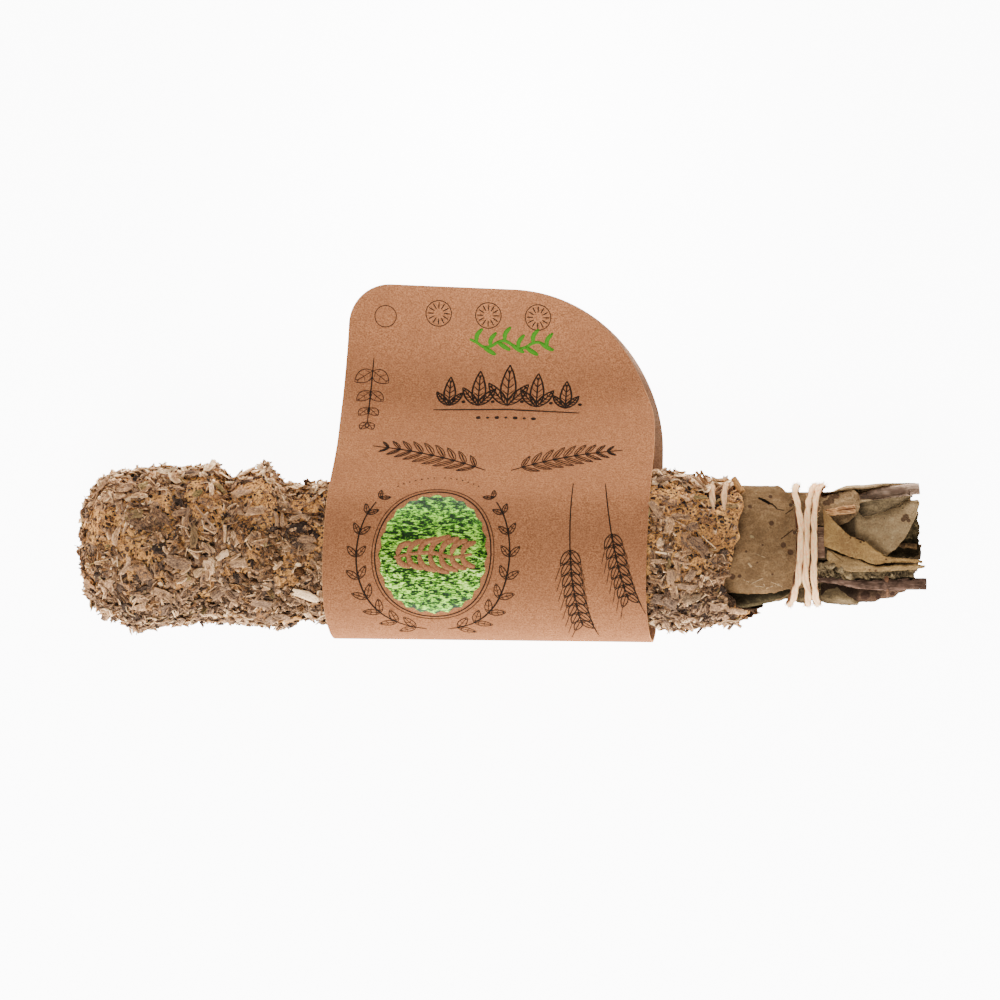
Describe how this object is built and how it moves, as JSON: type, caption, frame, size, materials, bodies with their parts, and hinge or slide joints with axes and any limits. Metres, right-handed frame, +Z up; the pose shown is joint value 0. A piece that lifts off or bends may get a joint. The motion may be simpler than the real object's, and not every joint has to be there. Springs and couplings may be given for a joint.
{
  "type": "sage bunch",
  "caption": "Dried sage smudge bunch: rolled leaves and twigs tied with cotton string, coated with crumbled herb on resin paste, in a folded kraft card sleeve with a hanging flap.",
  "frame": {"origin": "on the surface the bunch lies on, on the flat underside of the card, under the bundle's axis and midway along it", "axes": "+X along the bundle towards its cut leafy end, +Y towards the card's hanging flap, +Z up from the surface"},
  "size_m": [0.1993, 0.0859, 0.0386],
  "materials": {
    "herb_crumb": "matte",
    "leaf_olive": "matte",
    "leaf_grey": "matte",
    "leaf_ochre": "matte",
    "bark": "matte",
    "pale_wood": "matte",
    "cotton": "matte",
    "kraft_card": "matte"
  },
  "bodies": {
    "root": {"bark_strip": "bark", "crumb_coat": "herb_crumb", "folded_leaf_lower": "leaf_olive", "folded_leaf_upper": "leaf_ochre", "kraft_sleeve": "kraft_card", "packed_leaf_1": "leaf_olive", "packed_leaf_2": "leaf_grey", "packed_leaf_3": "leaf_olive", "packed_leaf_4": "leaf_grey", "packed_leaf_5": "leaf_olive", "packed_leaf_6": "leaf_grey", "packed_leaf_7": "leaf_olive", "rolled_leaf_1": "leaf_grey", "rolled_leaf_2": "leaf_olive", "rolled_leaf_3": "leaf_grey", "rolled_leaf_4": "leaf_olive", "stem_inner_1": "bark", "stem_inner_2": "bark", "string_tie_end": "cotton", "string_tie_middle": "cotton", "twig_broken": "pale_wood", "twig_lower": "bark", "twig_upper": "bark", "wrap_leaf_back": "leaf_grey", "wrap_leaf_bottom": "leaf_grey", "wrap_leaf_crumpled": "leaf_olive", "wrap_leaf_front": "leaf_olive", "wrap_leaf_grey": "leaf_grey", "wrap_leaf_side": "leaf_olive", "wrap_leaf_spotted": "leaf_grey", "wrap_leaf_under": "leaf_olive"}
  },
  "joints": []
}
